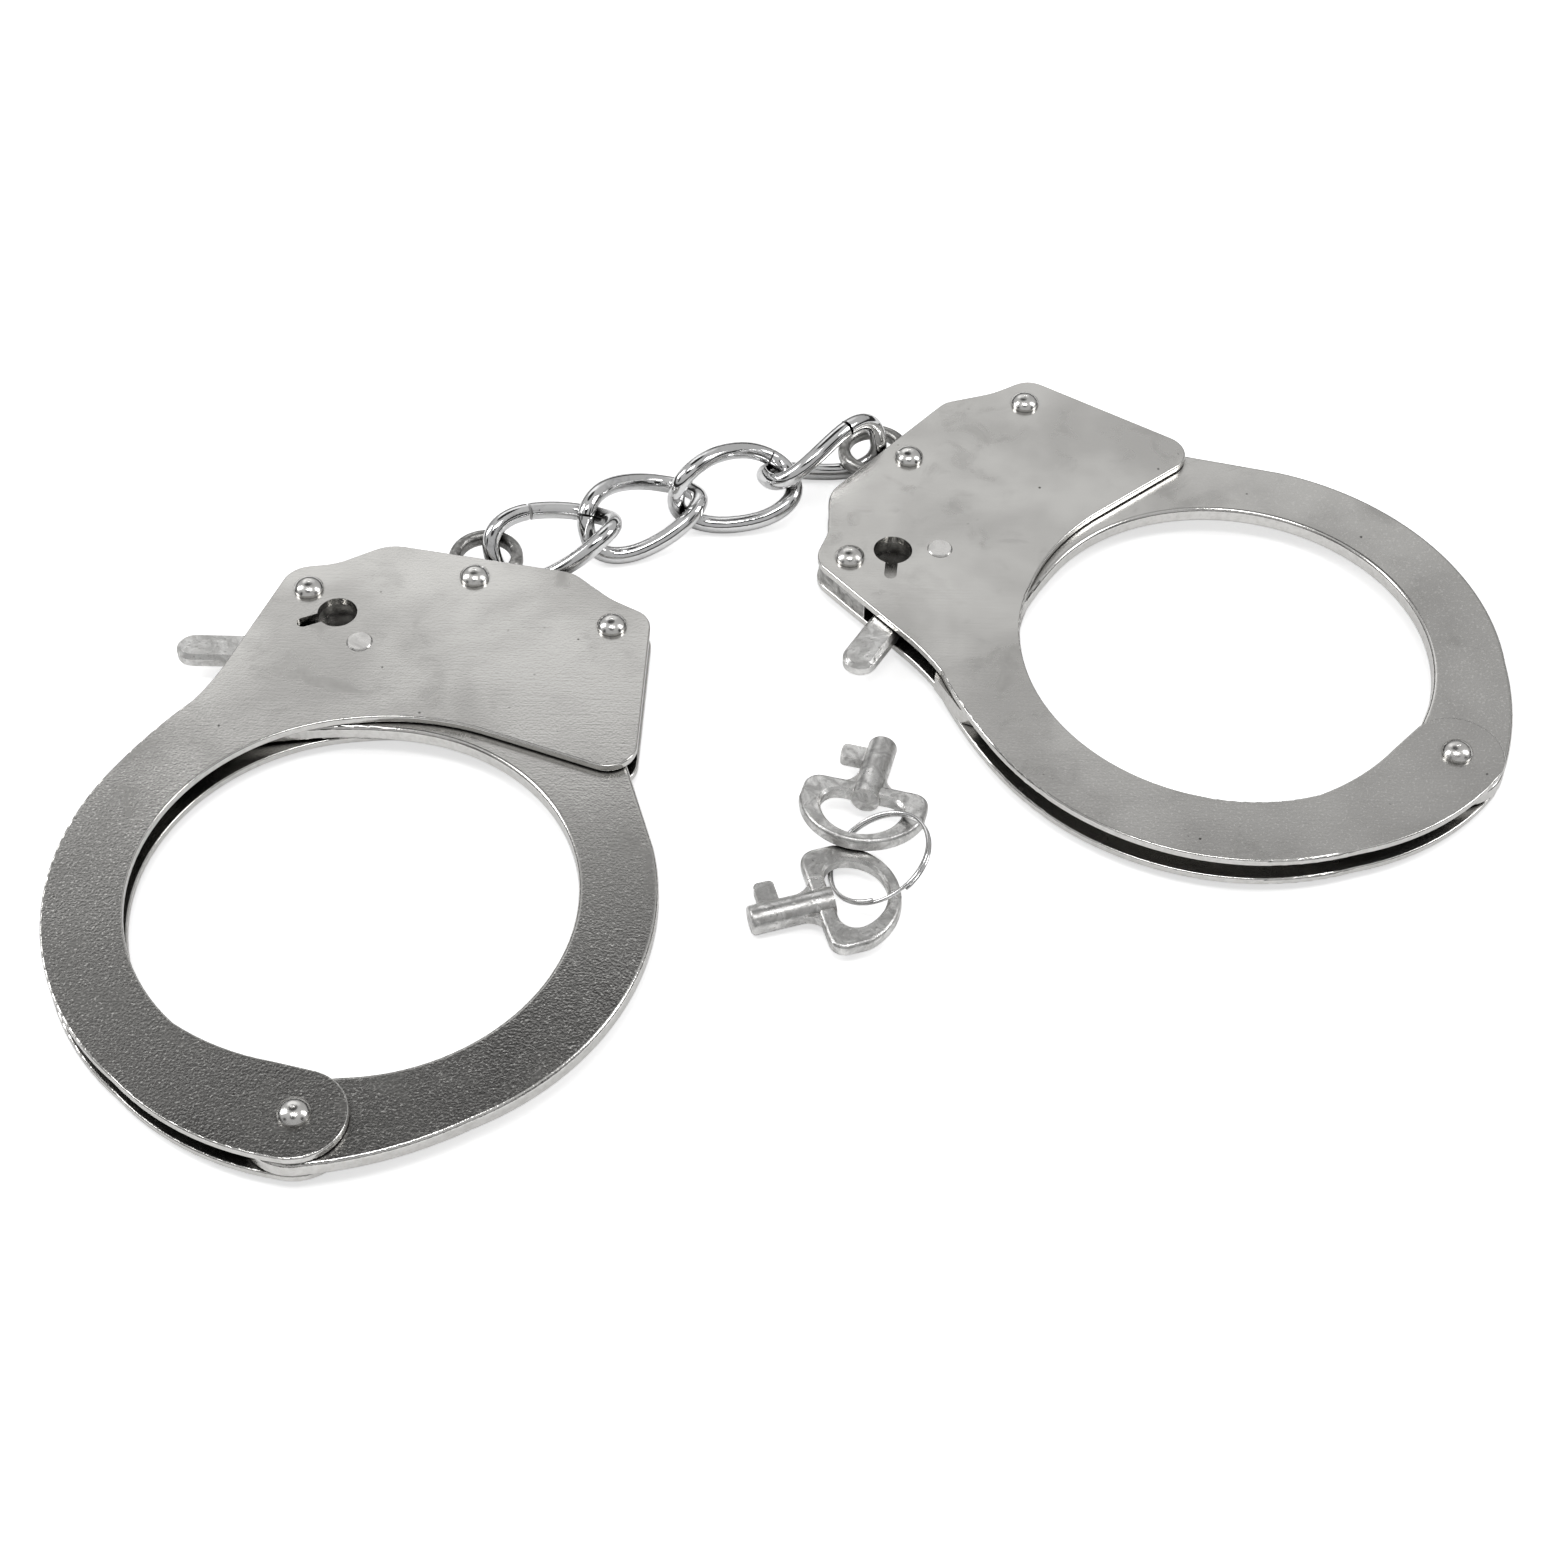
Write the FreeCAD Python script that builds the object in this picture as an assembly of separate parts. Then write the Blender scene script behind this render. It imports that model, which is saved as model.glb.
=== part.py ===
import FreeCAD, Part
import math
import os
from FreeCAD import Placement, Rotation, Vector

# A pair of wrist cuffs joined by a short chain, with two keys on a split ring, lying on a flat surface.
# Millimetres. Z is up, the surface is z = 0, and the origin is under the middle of the whole set.
#
# Each cuff is drawn in its own frame: the origin is the centre of the wrist opening, +Y points to the
# chain and the cheek plates lie flat. Each key is drawn with its shank along +Y, and each chain link
# along X. The placements further down set them out.
#
# Angles named "bearing" are in degrees from +Y towards +X, about the jaw pivot.

Z_AXIS = Vector(0, 0, 1)

# Heights of the cuff's layers: the lower rivet domes carry it.
DOME_HEIGHT = 1.4
PLATE_THICK = 1.1
PLATE_GAP = 2.5
BACK_Z = DOME_HEIGHT
GAP_Z = BACK_Z + PLATE_THICK
FRONT_Z = GAP_Z + PLATE_GAP
TOP_Z = FRONT_Z + PLATE_THICK
MOVING_THICK = 2.3
MOVING_Z = GAP_Z + (PLATE_GAP - MOVING_THICK) / 2

# The ring of the cuff.
OPENING_RADIUS = 28.0
CHEEK_RADIUS = 37.8
CHEEK_LUG_RADIUS = 6.2
PLATE_EDGE_ROUND = 0.25
PIVOT = Vector(0, -33.2, 0)

# Fasteners.
BODY_RIVETS = [Vector(-17.15, 49.8, 0), Vector(24.28, 47.8, 0)]
EYE_RIVET = Vector(4.52, 54.7, 0)
PAWL_PIN = Vector(-8.33, 40.88, 0)
RIVET_RADIUS = 1.5
HEAD_RADIUS = 1.95
HEAD_SKIRT = 0.5
HEAD_DIMPLE = 0.35
PAWL_PIN_RADIUS = 1.7
PAWL_PIN_PROUD = 0.2
FIXED_GAP = 0.02
RUNNING_GAP = 0.05

# Keyhole in the front plate.
KEYHOLE = Vector(-12.4, 45.9, 0)
KEYHOLE_RADIUS = 2.65
KEYHOLE_SLOT_WIDTH = 1.7
KEYHOLE_SLOT_REACH = 5.6
KEYHOLE_SLOT_ANGLE = 210

# Jaw: a ring arm, a toothed arc about the pivot and a plain nose.
JAW_INNER = 27.0
JAW_OUTER = 36.8
JAW_LUG_RADIUS = 6.4
JAW_EDGE_ROUND = 0.55
TRACK_INNER = 60.2
TOOTH_TIP = 67.8
TOOTH_DEPTH = 1.0
TOOTH_PITCH = 2.5
TOOTH_COUNT = 17
FIRST_TOOTH = -20.5
TOOTH_RAKE = 10.0
NOSE_BEARING = -24.4

# Release lever and pawl, one casting on the pawl pin. It is drawn with its teeth in the jaw's, then
# turned by PAWL_LIFT, which holds them just clear of the jaw's tooth tips.
PAWL_LIFT = 3.0
PAWL_FIRST_GAP = 12
PAWL_TEETH = 3
PAWL_TOOTH_GAP = 0.15
PAWL_FACE_GAP = 0.085
PAWL_BACK = 72.6
PAWL_BOSS_RADIUS = 3.0
LEVER_DROP = 2.2
LEVER_LENGTH = 22.1
LEVER_HALF_WIDTH = 2.3
LEVER_BEVEL = 0.55

# Lock body: a casting that fills the head above the jaw's track, with room for the pawl.
BODY_INSET = 0.2
BODY_TRACK = 68.2
CHAMBER_ROOF = 74.9
CHAMBER_END = 19.4
SLOT_TOP = 43.5
SLOT_BOTTOM = 28.0
SLOT_END = -30.0
POST_ROOM = 3.4
BIT_ROOM = 5.9
# Left, right, bottom and top of the bit's sweep, from the middle of the keyhole.
BIT_SWEEP = (-7.0, 1.0, -5.4, 0.3)

# Pawl spring, in a pocket of the lock body behind the pawl.
SPRING_BEARING = 6.0
SPRING_FOOT = 73.75
SPRING_ROOF = 79.0
SPRING_RADIUS = 0.9
SPRING_WIRE = 0.2
SPRING_TURNS = 5

# Chain eye: a flat ring on a boss that the eye rivet holds between the plates.
EYE_CENTRE = Vector(4.8, 60.8, 0)
EYE_OUTER = 5.1
EYE_HOLE = 3.4
EYE_THICK = 2.2
EYE_BOSS_RADIUS = 3.4
EYE_ROUND = 0.8
EYE_MOUTH_HALF = 9.0
EYE_MOUTH_DEPTH = 7.0

# Chain links: one wire each, a rounded loop that is twisted about its long axis.
WIRE_RADIUS = 1.2
LINK_HALF_LENGTH = 8.6
LINK_HALF_WIDTH = 5.1
LINK_SQUARENESS = 2.6
LINK_TWIST = 40.0
LINK_SEAM = 0.008
LINK_SAMPLES = 40

# Keys.
SHANK_RADIUS = 1.9
SHANK_TIP = 13.0
BOW_HALF_WIDTH = 8.1
BOW_FLAT = 4.65
BOW_BULGE = -6.2
BOW_THICK = 2.0
BOW_CORNER = 2.1
BOW_ROUND = 0.6
HOLE_SIDE_RIM = 2.8
HOLE_FLAT_RIM = 2.15
HOLE_BULGE_RIM = 1.6
HOLE_CORNER = 2.3
HOLE_BEVEL = 0.35
SHANK_START = 2.3
GUSSET_REACH = 1.6
GUSSET_THICK = 1.4
BIT_REACH = 4.9
BIT_THICK = 1.5
BIT_LENGTH = 2.6
BIT_FROM_TIP = 1.7
BIT_CORNER = 0.7

# Split ring: about two turns of thin wire.
RING_RADIUS = 6.8
RING_WIRE = 0.25
RING_PITCH = 0.51
RING_TURNS = 1.9

# Where the cuffs lie: centre of the wrist opening and turn about Z.
CUFFS = {
    "left": (Vector(-54.868, -29.005, 0), -5.06),
    "right": (Vector(55.862, 16.345, 0), 55.20),
}

# Chain links: middle of the wire's loop, turn about Z, rise of the right end, roll about its length,
# and where round the loop its butt seam is, from 0 to 1.
CHAIN_LINKS = [
    (Vector(-35.628, 33.845, 5.1), 13.06, 10.57, 11.49, 0.28),
    (Vector(-23.928, 40.635, 4.28), 33.65, -2.06, 21.34, 0.44),
    (Vector(-11.008, 44.805, 5.51), 20.84, -5.7, 51.16, 0.13),
    (Vector(1.362, 50.995, 5.85), 25.35, 5.2, 116.5, 0.2),
]

# Keys: place of the bow's middle, turn about Z, tip-down tilt, and roll about the shank.
KEY_PLACES = {
    "key_a": (Vector(6.692, -13.165, 3.85), -13.5, 6.0, 0),
    "key_b": (Vector(5.492, -25.715, 2.35), 107.0, 2.0, 180),
}

# Split ring: centre, tilt up towards +X, and turn of its wire about its own axis.
RING_PLACE = (Vector(9.192, -20.615, 3.48), 29.5, -60.0)


def polar(bearing, radius):
    """Point at a bearing and distance from the jaw pivot."""
    angle = math.radians(bearing)
    return PIVOT + Vector(radius * math.sin(angle), radius * math.cos(angle), 0)


def on_circle(bearing, radius):
    """Point at a bearing and distance from the centre of the opening."""
    angle = math.radians(bearing)
    return Vector(radius * math.sin(angle), radius * math.cos(angle), 0)


def step(point, extra=None):
    """A point as an outline step."""
    return (point.x, point.y) if extra is None else (point.x, point.y, extra)


def rounded(corner, before, after, radius):
    """Start, middle and end of the arc that rounds a corner between two straight runs."""
    back = (before - corner).normalize()
    ahead = (after - corner).normalize()
    half = back.getAngle(ahead) / 2
    reach = radius / math.tan(half)
    inward = Vector(back + ahead).normalize()
    middle = corner + inward * (radius / math.sin(half) - radius)
    return corner + back * reach, middle, corner + ahead * reach


def outline(steps):
    """Closed wire in the XY plane. A step is (x, y) for a plain corner, (x, y, r) for a corner rounded
    at radius r, or (x, y, "via") for a point on the arc between the steps before and after it."""
    count = len(steps)
    spots = [Vector(s[0], s[1], 0) for s in steps]
    kinds = [s[2] if len(s) > 2 else 0 for s in steps]
    entries = list(spots)
    exits = list(spots)
    edges = []
    for i, kind in enumerate(kinds):
        if kind and kind != "via":
            entries[i], middle, exits[i] = rounded(spots[i], spots[i - 1], spots[(i + 1) % count], kind)
            edges.append(Part.Arc(entries[i], middle, exits[i]).toShape())
    for i, kind in enumerate(kinds):
        after = (i + 1) % count
        if kind == "via":
            edges.append(Part.Arc(exits[i - 1], spots[i], entries[after]).toShape())
        elif kinds[after] != "via":
            edges.append(Part.LineSegment(exits[i], entries[after]).toShape())
    return Part.Wire(Part.__sortEdges__(edges))


def prism(steps, z, height):
    """Solid of an outline between two heights."""
    face = Part.Face(outline(steps))
    face.translate(Vector(0, 0, z))
    return face.extrude(Vector(0, 0, height))


def post(centre, radius, z, height):
    """Upright cylinder."""
    return Part.makeCylinder(radius, height, Vector(centre.x, centre.y, z))


def box(low_x, high_x, low_y, high_y, z, height):
    """Upright box between two corners."""
    return Part.makeBox(high_x - low_x, high_y - low_y, height, Vector(low_x, low_y, z))


def flat_edges(shape, z, longer_than=0.0):
    """Edges that lie wholly at one height."""
    return [e for e in shape.Edges
            if abs(e.BoundBox.ZMin - z) < 1e-6 and abs(e.BoundBox.ZMax - z) < 1e-6
            and e.Length > longer_than]


HEAD_CORNERS = [
    (-24.7, 36.0),
    (-20.4, 53.6, 4.0),
    (-14.6, 55.1, 8.0),
    (-8.2, 59.7, 6.0),
    (17.6, 57.3, 4.0),
    (23.4, 52.9, 12.0),
    (29.25, 50.3, 3.5),
    (31.0, 21.8, 3.8),
    (12.0, 27.0),
]


def cheek_outline():
    """Head, left half of the ring and the pivot lug, in one outline."""
    return [
        step(on_circle(-12.4, OPENING_RADIUS)),
        step(on_circle(-80, OPENING_RADIUS), "via"),
        step(on_circle(-143, OPENING_RADIUS)),
        (-10.6, -25.05, "via"),
        (-4.0, -26.35),
        (0.5, -27.02),
        (CHEEK_LUG_RADIUS, PIVOT.y, "via"),
        (-0.6, -39.37),
        (-11.0, -37.2, "via"),
        step(on_circle(-145, CHEEK_RADIUS)),
        step(on_circle(-90, CHEEK_RADIUS), "via"),
        step(on_circle(-65, CHEEK_RADIUS)),
        (-31.0, 22.5, "via"),
        (-27.5, 28.0),
        (-25.9, 31.8, "via"),
    ] + HEAD_CORNERS + [(3.0, 28.4, "via")]


def keyhole_cutter(z, height):
    """Round hole with a slot for the key's bit."""
    half = KEYHOLE_SLOT_WIDTH / 2
    far = KEYHOLE_SLOT_REACH - half
    slot = box(0, far, -half, half, z, height).fuse(post(Vector(far, 0, 0), half, z, height))
    slot.rotate(Vector(0, 0, 0), Z_AXIS, KEYHOLE_SLOT_ANGLE)
    slot.translate(KEYHOLE)
    return post(KEYHOLE, KEYHOLE_RADIUS, z, height).fuse(slot)


def cheek_plate(z, with_keyhole):
    """One cheek plate, its outer edges slightly rounded, with its rivet and pin holes."""
    plate = prism(cheek_outline(), z, PLATE_THICK)
    for level in (z + PLATE_THICK, z):
        plate = plate.makeFillet(PLATE_EDGE_ROUND, flat_edges(plate, level))
    for centre in BODY_RIVETS + [EYE_RIVET, PIVOT]:
        plate = plate.cut(post(centre, RIVET_RADIUS + FIXED_GAP, z, PLATE_THICK))
    plate = plate.cut(post(PAWL_PIN, PAWL_PIN_RADIUS + FIXED_GAP, z, PLATE_THICK))
    if with_keyhole:
        plate = plate.cut(keyhole_cutter(z, PLATE_THICK))
    return plate


def rivet_head():
    """Domed button above z = 0: a short skirt, a crown and a small dimple."""
    crown = math.sqrt(HEAD_RADIUS ** 2 - (DOME_HEIGHT - HEAD_SKIRT) ** 2)
    edges = [
        Part.LineSegment(Vector(0, 0, 0), Vector(HEAD_RADIUS, 0, 0)).toShape(),
        Part.LineSegment(Vector(HEAD_RADIUS, 0, 0), Vector(HEAD_RADIUS, 0, HEAD_SKIRT)).toShape(),
        Part.Arc(Vector(HEAD_RADIUS, 0, HEAD_SKIRT),
                 Vector(crown * 0.74, 0, HEAD_SKIRT + (DOME_HEIGHT - HEAD_SKIRT) * 0.68),
                 Vector(0, 0, DOME_HEIGHT)).toShape(),
        Part.LineSegment(Vector(0, 0, DOME_HEIGHT), Vector(0, 0, 0)).toShape(),
    ]
    head = Part.Face(Part.Wire(edges)).revolve(Vector(0, 0, 0), Z_AXIS, 360)
    dimple = Part.makeSphere(HEAD_DIMPLE, Vector(0, 0, DOME_HEIGHT + HEAD_DIMPLE * 0.6))
    return head.cut(dimple)


def domed_rivet(centre):
    """Rivet through both plates, with a domed head on each side."""
    top = rivet_head()
    top.translate(Vector(0, 0, TOP_Z))
    bottom = rivet_head()
    bottom.rotate(Vector(0, 0, 0), Vector(1, 0, 0), 180)
    bottom.translate(Vector(0, 0, BACK_Z))
    shank = Part.makeCylinder(RIVET_RADIUS, TOP_Z - BACK_Z, Vector(0, 0, BACK_Z))
    rivet = shank.fuse([top, bottom]).removeSplitter()
    rivet.translate(centre)
    return rivet


def pawl_pin():
    """Flush pin with bevelled ends."""
    height = TOP_Z - BACK_Z + 2 * PAWL_PIN_PROUD
    pin = Part.makeCylinder(PAWL_PIN_RADIUS, height, Vector(0, 0, BACK_Z - PAWL_PIN_PROUD))
    ends = flat_edges(pin, BACK_Z - PAWL_PIN_PROUD) + flat_edges(pin, TOP_Z + PAWL_PIN_PROUD)
    pin = pin.makeChamfer(PAWL_PIN_PROUD * 0.8, ends)
    pin.translate(PAWL_PIN)
    return pin


def tooth_bearing(index):
    """Bearing of one tooth tip, counted from the nose."""
    return FIRST_TOOTH + TOOTH_PITCH * index


def saw(first, count, raise_by, turn_by):
    """Saw-tooth points from the nose side on: tip, undercut root, tip and so on."""
    undercut = math.degrees(TOOTH_DEPTH * math.tan(math.radians(TOOTH_RAKE)) / TOOTH_TIP)
    points = []
    for index in range(first, first + count):
        tip = tooth_bearing(index) + turn_by
        points.append(polar(tip, TOOTH_TIP + raise_by))
        points.append(polar(tip - undercut, TOOTH_TIP - TOOTH_DEPTH + raise_by))
    points.append(polar(tooth_bearing(first + count) + turn_by, TOOTH_TIP + raise_by))
    return points


def jaw_outline():
    """Ring arm, toothed arc, nose and lug, from the lug up the right side."""
    teeth = [step(point) for point in reversed(saw(0, TOOTH_COUNT, 0, 0))]
    return [
        (2.0, -39.28),
        (11.5, -36.0, "via"),
        step(on_circle(147.3, JAW_OUTER)),
        step(on_circle(90, JAW_OUTER), "via"),
        step(on_circle(71.5, JAW_OUTER)),
        (29.4, 25.4, 5.0),
    ] + teeth + [
        step(polar(-22.5, TOOTH_TIP), "via"),
        step(polar(NOSE_BEARING, TOOTH_TIP)),
        (-30.9, 22.6, 0.8),
        (-30.2, 19.6, 0.8),
        step(polar(-26.0, TRACK_INNER)),
        step(polar(-13.0, TRACK_INNER), "via"),
        step(polar(0, TRACK_INNER)),
        step(on_circle(90, JAW_INNER), "via"),
        step(on_circle(171.5, JAW_INNER)),
        (2.0, -27.12),
        (-JAW_LUG_RADIUS, PIVOT.y, "via"),
    ]


def jaw():
    """The toothed strand, its ring edges polished round, with a running hole for its rivet."""
    solid = prism(jaw_outline(), MOVING_Z, MOVING_THICK)
    rims = flat_edges(solid, MOVING_Z, 12) + flat_edges(solid, MOVING_Z + MOVING_THICK, 12)
    solid = solid.makeFillet(JAW_EDGE_ROUND, rims)
    return solid.cut(post(PIVOT, RIVET_RADIUS + RUNNING_GAP, MOVING_Z, MOVING_THICK))


def pawl_arm():
    """Arm from the pin to the teeth, drawn in mesh."""
    first = tooth_bearing(PAWL_FIRST_GAP)
    last = tooth_bearing(PAWL_FIRST_GAP + PAWL_TEETH)
    teeth = [step(p) for p in saw(PAWL_FIRST_GAP, PAWL_TEETH, PAWL_TOOTH_GAP, PAWL_FACE_GAP)]
    return teeth + [
        step(polar(last + 1.2, TOOTH_TIP + 0.7)),
        step(polar(last + 1.2, PAWL_BACK), 1.0),
        step(polar(last - 2.5, PAWL_BACK)),
        step(polar(6, PAWL_BACK + 0.2), "via"),
        step(polar(-5, PAWL_BACK + 1.6)),
        step(polar(-5, PAWL_BACK + 0.4)),
        step(polar(3, TOOTH_TIP + 1.9), "via"),
        step(polar(first - 0.8, TOOTH_TIP + 0.6)),
    ]


def lever():
    """Thumb lever, round-ended and bevelled, from the pin to the left."""
    end = -LEVER_LENGTH
    half = LEVER_HALF_WIDTH
    bar = prism([
        (0, half), (end, half), (end - half, 0, "via"), (end, -half), (0, -half)
    ], MOVING_Z, MOVING_THICK)
    rims = flat_edges(bar, MOVING_Z) + flat_edges(bar, MOVING_Z + MOVING_THICK)
    bar = bar.makeChamfer(LEVER_BEVEL, rims)
    bar.rotate(Vector(0, 0, 0), Z_AXIS, LEVER_DROP)
    bar.translate(PAWL_PIN)
    return bar


def release_pawl():
    """Lever, boss and toothed arm in one, held clear of the jaw's teeth."""
    boss = post(PAWL_PIN, PAWL_BOSS_RADIUS, MOVING_Z, MOVING_THICK)
    arm = prism(pawl_arm(), MOVING_Z, MOVING_THICK)
    solid = arm.fuse([boss, lever()]).removeSplitter()
    solid = solid.cut(post(PAWL_PIN, PAWL_PIN_RADIUS + RUNNING_GAP, MOVING_Z, MOVING_THICK))
    solid.rotate(PAWL_PIN, Z_AXIS, PAWL_LIFT)
    return solid


def pawl_room():
    """Space in the lock body for the pawl, its lever's slot and its spring."""
    sector = prism([
        step(polar(-9, BODY_TRACK - 1)),
        step(polar(5, BODY_TRACK - 1), "via"),
        step(polar(CHAMBER_END, BODY_TRACK - 1)),
        step(polar(CHAMBER_END, CHAMBER_ROOF)),
        step(polar(5, CHAMBER_ROOF), "via"),
        step(polar(-9, CHAMBER_ROOF)),
    ], GAP_Z, PLATE_GAP)
    slot = box(SLOT_END, PAWL_PIN.x, SLOT_BOTTOM, SLOT_TOP, GAP_Z, PLATE_GAP)
    boss = post(PAWL_PIN, PAWL_BOSS_RADIUS + 0.5, GAP_Z, PLATE_GAP)
    side = SPRING_RADIUS + SPRING_WIRE + 0.15
    pocket = box(-side, side, CHAMBER_ROOF - 2, SPRING_ROOF, GAP_Z, PLATE_GAP)
    pocket.rotate(Vector(0, 0, 0), Z_AXIS, -SPRING_BEARING)
    pocket.translate(PIVOT)
    return sector.fuse([slot, boss, pocket])


def key_room():
    """Space in the lock body for the key's post and the sweep of its bit."""
    sweep = post(KEYHOLE, BIT_ROOM, GAP_Z, PLATE_GAP)
    left, right, bottom, top = BIT_SWEEP
    quarter = box(KEYHOLE.x + left, KEYHOLE.x + right, KEYHOLE.y + bottom, KEYHOLE.y + top, GAP_Z, PLATE_GAP)
    return post(KEYHOLE, POST_ROOM, GAP_Z, PLATE_GAP).fuse(sweep.common(quarter))


def eye_room():
    """Notch in the lock body for the chain eye's boss and its swing."""
    boss = post(EYE_RIVET, EYE_BOSS_RADIUS + 0.3, GAP_Z, PLATE_GAP)
    mouth = prism([
        step(EYE_RIVET + Vector(-EYE_BOSS_RADIUS - 0.3, 0, 0)),
        step(EYE_RIVET + Vector(EYE_BOSS_RADIUS + 0.3, 0, 0)),
        step(EYE_RIVET + Vector(EYE_MOUTH_HALF, EYE_MOUTH_DEPTH, 0)),
        step(EYE_RIVET + Vector(-EYE_MOUTH_HALF, EYE_MOUTH_DEPTH, 0)),
    ], GAP_Z, PLATE_GAP)
    return boss.fuse(mouth)


def lock_body():
    """Casting between the plates that the rivets clamp."""
    head = outline([(-24.7, 36.0), *HEAD_CORNERS[1:7], (31.0, 21.8), (-20.0, 21.8)])
    face = Part.Face(head.makeOffset2D(-BODY_INSET))
    face.translate(Vector(0, 0, GAP_Z))
    body = face.extrude(Vector(0, 0, PLATE_GAP))
    body = body.cut([post(PIVOT, BODY_TRACK, GAP_Z, PLATE_GAP), pawl_room(), key_room(), eye_room()])
    body = body.cut([post(c, RIVET_RADIUS + FIXED_GAP, GAP_Z, PLATE_GAP) for c in BODY_RIVETS])
    return max(body.Solids, key=lambda solid: solid.Volume)


def pawl_spring():
    """Coil spring at its length with the pawl held off."""
    length = SPRING_ROOF - SPRING_FOOT - 2 * SPRING_WIRE - 0.1
    helix = Part.makeHelix(length / SPRING_TURNS, length, SPRING_RADIUS)
    start = Vector(SPRING_RADIUS, 0, 0)
    section = Part.Wire(Part.makeCircle(SPRING_WIRE, start, Vector(0, 1, 0)))
    coil = Part.Wire(helix).makePipeShell([section], True, True)
    coil.rotate(Vector(0, 0, 0), Vector(1, 0, 0), -90)
    coil.translate(Vector(0, SPRING_FOOT + SPRING_WIRE + 0.05, GAP_Z + PLATE_GAP / 2))
    coil.rotate(Vector(0, 0, 0), Z_AXIS, -SPRING_BEARING)
    coil.translate(PIVOT)
    return coil


def chain_eye():
    """Flat ring with rounded edges on a boss."""
    z = GAP_Z + (PLATE_GAP - EYE_THICK) / 2
    neck = box(EYE_CENTRE.x - 3.0, EYE_CENTRE.x + 3.0, EYE_RIVET.y, EYE_CENTRE.y - 2, z, EYE_THICK)
    boss = post(EYE_RIVET, EYE_BOSS_RADIUS, z, EYE_THICK)
    ring = post(EYE_CENTRE, EYE_OUTER, z, EYE_THICK)
    rims = flat_edges(ring, z) + flat_edges(ring, z + EYE_THICK)
    ring = ring.makeFillet(EYE_ROUND, rims)
    blank = ring.fuse([neck, boss]).removeSplitter()
    blank = blank.cut(post(EYE_CENTRE, EYE_HOLE, z, EYE_THICK))
    mouth = [e for e in flat_edges(blank, z) + flat_edges(blank, z + EYE_THICK)
             if abs(e.Length - 2 * math.pi * EYE_HOLE) < 0.01]
    blank = blank.makeFillet(EYE_ROUND, mouth)
    return blank.cut(post(EYE_RIVET, RIVET_RADIUS + RUNNING_GAP, z, EYE_THICK))


def cuff():
    """All the pieces of one cuff, in the cuff's own frame."""
    return {
        "front_plate": cheek_plate(FRONT_Z, True),
        "back_plate": cheek_plate(BACK_Z, False),
        "lock_body": lock_body(),
        "body_rivets": Part.makeCompound([domed_rivet(centre) for centre in BODY_RIVETS]),
        "eye_rivet": domed_rivet(EYE_RIVET),
        "pawl_pin": pawl_pin(),
        "pawl_spring": pawl_spring(),
        "jaw_rivet": domed_rivet(PIVOT),
        "release_pawl": release_pawl(),
        "jaw": jaw(),
        "chain_eye": chain_eye(),
    }


def link_centreline(turn):
    """Point of a link's wire at a turn from 0 to 1 round the loop."""
    angle = 2 * math.pi * turn
    power = 2 / LINK_SQUARENESS
    along = math.copysign(abs(math.cos(angle)) ** power, math.cos(angle))
    across = LINK_HALF_WIDTH * math.copysign(abs(math.sin(angle)) ** power, math.sin(angle))
    twist = -math.radians(LINK_TWIST) * along
    return Vector(LINK_HALF_LENGTH * along, across * math.cos(twist), across * math.sin(twist))


def chain_link(centre, yaw, rise, roll, seam):
    """Twisted link of round wire with an open butt seam, in its place."""
    first = seam + LINK_SEAM / 2
    last = seam + 1 - LINK_SEAM / 2
    turns = [first + (last - first) * i / LINK_SAMPLES for i in range(LINK_SAMPLES + 1)]
    path = Part.BSplineCurve()
    path.interpolate([link_centreline(turn) for turn in turns])
    section = Part.makeCircle(WIRE_RADIUS, path.value(0), path.tangent(0)[0])
    link = Part.Wire(path.toShape()).makePipeShell([Part.Wire(section)], True, False)
    turned = Rotation(Z_AXIS, yaw) * Rotation(Vector(0, 1, 0), -rise) * Rotation(Vector(1, 0, 0), roll)
    link.Placement = Placement(centre, turned)
    return link


def bow_outline(side_rim, flat_rim, bulge_rim, corner):
    """D shape inside the bow's edge: straight towards the shank, bulging the other way."""
    wide = BOW_HALF_WIDTH - side_rim
    flat = BOW_FLAT - flat_rim
    return [
        (-wide, flat, corner),
        (-wide, 0.0),
        (0, BOW_BULGE + bulge_rim, "via"),
        (wide, 0.0),
        (wide, flat, corner),
    ]


def bow():
    """Flat D-shaped grip with rounded outer edges and a bevelled hole."""
    half = BOW_THICK / 2
    grip = prism(bow_outline(0, 0, 0, BOW_CORNER), -half, BOW_THICK)
    grip = grip.makeFillet(BOW_ROUND, flat_edges(grip, -half) + flat_edges(grip, half))
    hole = prism(bow_outline(HOLE_SIDE_RIM, HOLE_FLAT_RIM, HOLE_BULGE_RIM, HOLE_CORNER), -half, BOW_THICK)
    grip = grip.cut(hole)
    rims = [e for e in flat_edges(grip, -half) + flat_edges(grip, half)
            if e.BoundBox.YMax < BOW_FLAT - BOW_ROUND - 0.1 and abs(e.CenterOfMass.x) < BOW_HALF_WIDTH - 2]
    return grip.makeChamfer(HOLE_BEVEL, rims)


def shank_gussets():
    """Curved webs between the shank and the bow's flat side."""
    foot = BOW_FLAT - 0.3
    webs = []
    for way in (-1, 1):
        near = way * (SHANK_RADIUS - 0.4)
        far = way * (SHANK_RADIUS + GUSSET_REACH)
        lean = way * (SHANK_RADIUS + GUSSET_REACH * 0.3)
        webs.append(prism([
            (near, foot),
            (far, foot),
            (lean, foot + GUSSET_REACH * 0.55, "via"),
            (way * SHANK_RADIUS, foot + GUSSET_REACH + 0.4),
            (near, foot + GUSSET_REACH + 0.4),
        ], -GUSSET_THICK / 2, GUSSET_THICK))
    return webs


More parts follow.
